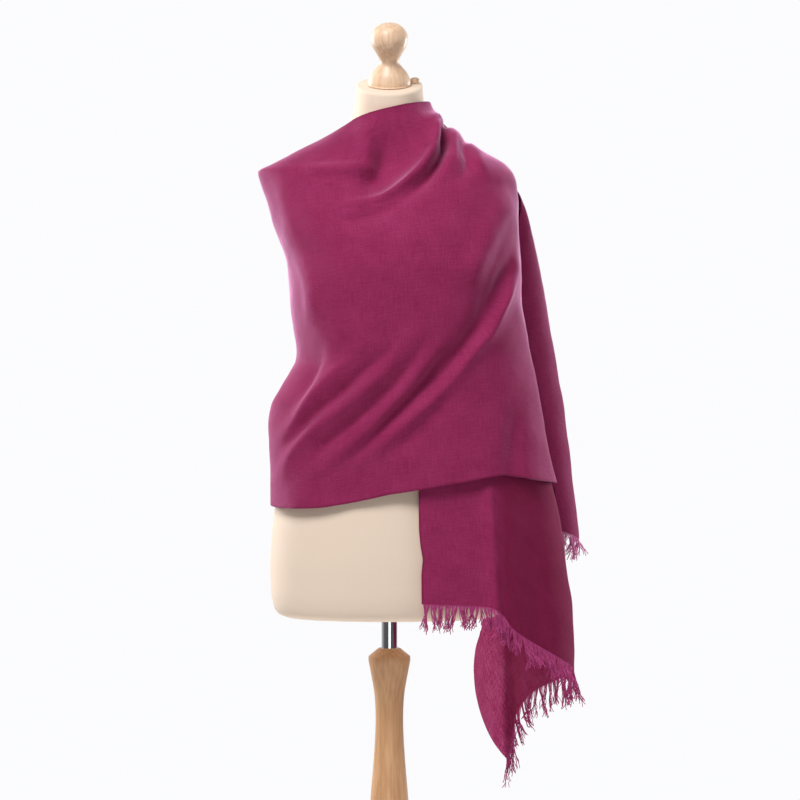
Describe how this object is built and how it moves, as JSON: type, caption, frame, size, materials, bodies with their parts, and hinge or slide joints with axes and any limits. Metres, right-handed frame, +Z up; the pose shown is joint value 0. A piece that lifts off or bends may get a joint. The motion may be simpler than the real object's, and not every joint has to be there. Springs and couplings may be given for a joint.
{
  "type": "pashmina shawl on a dress form",
  "caption": "Magenta pashmina shawl with fringed ends, wrapped across the chest of a cream limbless dress form on a turned wooden stand",
  "frame": {"origin": "centre of the base's underside, on the floor", "axes": "+Z up, the form faces -Y, +X is the form's own left side"},
  "size_m": [0.4584, 0.33, 1.6336],
  "materials": {
    "shawl_cloth": "fine woven wool with a soft brushed nap",
    "jersey_cover": "smooth stretched cream jersey",
    "turned_wood": "pale beech, satin lacquer",
    "chrome_pole": "polished"
  },
  "bodies": {
    "root": {"front_wrap": "shawl_cloth", "back_wrap": "shawl_cloth", "under_end": "shawl_cloth", "over_end": "shawl_cloth", "under_fringe_front": "shawl_cloth", "under_fringe_back": "shawl_cloth", "over_fringe": "shawl_cloth", "torso": "jersey_cover", "neck_knob": "turned_wood", "neck_peg": "turned_wood", "column": "turned_wood", "base": "turned_wood", "pole": "chrome_pole"}
  },
  "joints": []
}
